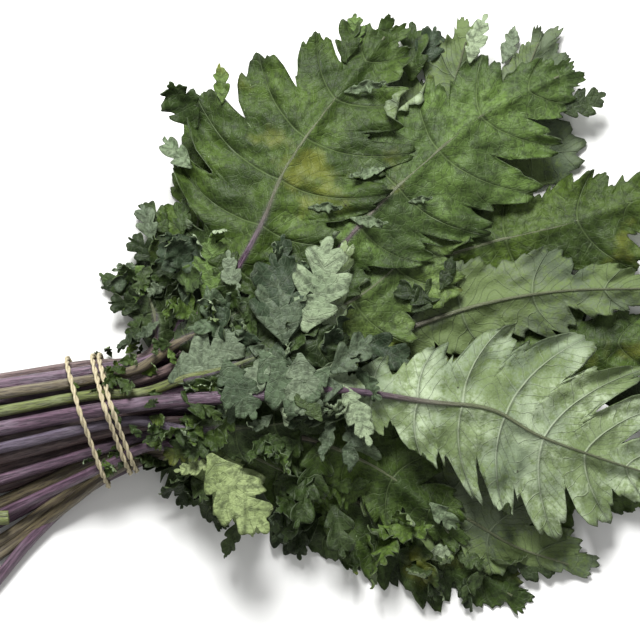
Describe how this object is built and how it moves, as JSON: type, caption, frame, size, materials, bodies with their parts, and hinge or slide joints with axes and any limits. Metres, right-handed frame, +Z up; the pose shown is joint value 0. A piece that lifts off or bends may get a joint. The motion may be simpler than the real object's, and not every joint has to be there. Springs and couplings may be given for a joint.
{
  "type": "bunch of purple kale",
  "caption": "Tied bunch of purple kale lying flat: long purple stalks held by a twisted string, and large green leaves with cut and toothed edges.",
  "frame": {"origin": "under the middle of the bunch's bounding box, at the level that it rests on", "axes": "+X from the cut stalks to the leaf tips, +Y across the bunch, +Z up"},
  "size_m": [0.4804, 0.3618, 0.0719],
  "materials": {
    "stalk_purple": "satin",
    "leaf_green": "matte",
    "leaf_pale": "matte",
    "tie_cream": "matte"
  },
  "bodies": {
    "root": {"stem_01": "stalk_purple", "blade_01": "leaf_green", "stem_02": "stalk_purple", "blade_02": "leaf_green", "stem_03": "stalk_purple", "blade_03": "leaf_green", "stem_04": "stalk_purple", "blade_04": "leaf_green", "stem_05": "stalk_purple", "blade_05": "leaf_green", "stem_06": "stalk_purple", "blade_06": "leaf_pale", "stem_07": "stalk_purple", "blade_07": "leaf_green", "stem_08": "stalk_purple", "blade_08": "leaf_pale", "stem_09": "stalk_purple", "blade_09": "leaf_green", "stem_10": "stalk_purple", "blade_10": "leaf_green", "stem_11": "stalk_purple", "blade_11": "leaf_green", "stem_12": "stalk_purple", "blade_12": "leaf_green", "stem_13": "stalk_purple", "blade_13": "leaf_green", "stem_14": "stalk_purple", "blade_14": "leaf_pale", "stem_15": "stalk_purple", "blade_15": "leaf_pale", "stem_16": "stalk_purple", "blade_16": "leaf_green", "stem_17": "stalk_purple", "blade_17": "leaf_green", "stem_18": "stalk_purple", "blade_18": "leaf_green", "stem_19": "stalk_purple", "blade_19": "leaf_green", "stem_20": "stalk_purple", "blade_20": "leaf_green", "stem_21": "stalk_purple", "blade_21": "leaf_pale", "stem_22": "stalk_purple", "blade_22": "leaf_pale", "stem_23": "stalk_purple", "blade_23": "leaf_green", "stem_24": "stalk_purple", "blade_24": "leaf_green", "stem_25": "stalk_purple", "blade_25": "leaf_green", "stem_26": "stalk_purple", "blade_26": "leaf_pale", "tie_string": "tie_cream"}
  },
  "joints": []
}
